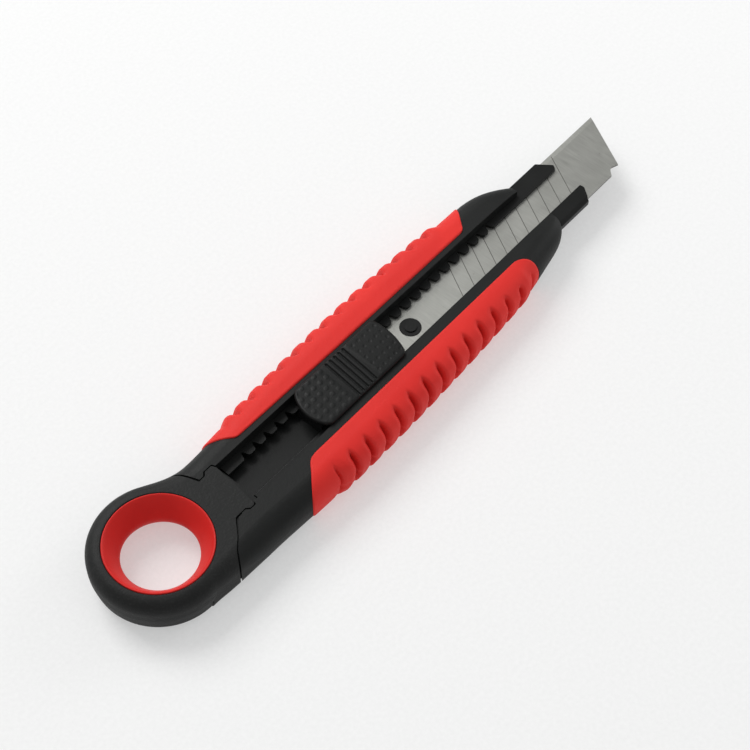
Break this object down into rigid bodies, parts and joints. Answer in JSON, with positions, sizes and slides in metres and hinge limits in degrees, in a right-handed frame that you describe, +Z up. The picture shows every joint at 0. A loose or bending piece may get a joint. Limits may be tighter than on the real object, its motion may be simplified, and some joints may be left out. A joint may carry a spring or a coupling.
{
  "type": "snap-off blade utility knife",
  "caption": "Slim cutter with a locking sliding snap-off blade, lobed soft grips and a removable end cap with a finger and hanging ring, for cutting paper and board.",
  "frame": {"origin": "middle of the bounding box on the table, with the blade out as in use", "axes": "+X along the knife towards the blade tip, +Y towards the cutting edge, +Z up through the thumb slot"},
  "size_m": [0.2038, 0.0402, 0.0141],
  "materials": {
    "shell_black": "fine-grained ABS",
    "cap_black": "coarser-grained ABS",
    "track_black": "black coated sheet steel",
    "grip_red": "matte soft thermoplastic rubber",
    "liner_red": "matte soft thermoplastic rubber",
    "carrier_black": "plain moulded acetal",
    "pad_black": "satin moulded ABS",
    "spring_steel": "bright rolled spring steel",
    "blade_steel": "satin ground carbon steel"
  },
  "bodies": {
    "handle": {"housing": "shell_black", "blade_track": "track_black", "grip_far": "grip_red", "grip_near": "grip_red"},
    "carrier": {"blade_carrier": "carrier_black", "lock_spring": "spring_steel", "snap_blade": "blade_steel"},
    "pad": {"thumb_pad": "pad_black"},
    "cap": {"end_cap": "cap_black", "cap_latch": "cap_black", "ring_liner": "liner_red"}
  },
  "joints": [
    {"name": "blade_slide", "type": "slide", "parent": "handle", "child": "carrier", "axis": [1, 0, 0], "range_m": [-0.02478, 0.04956], "deforming": ["lock_spring"]},
    {"name": "pad_shift", "type": "slide", "parent": "carrier", "child": "pad", "axis": [1, 0, 0], "range_m": [-0.0008, 0.0008], "stiffness_N_per_m": 400, "deforming": ["lock_spring"]},
    {"name": "cap_slide", "type": "slide", "parent": "handle", "child": "cap", "axis": [-1, 0, 0], "range_m": [0, 0.026], "deforming": ["cap_latch"]}
  ]
}
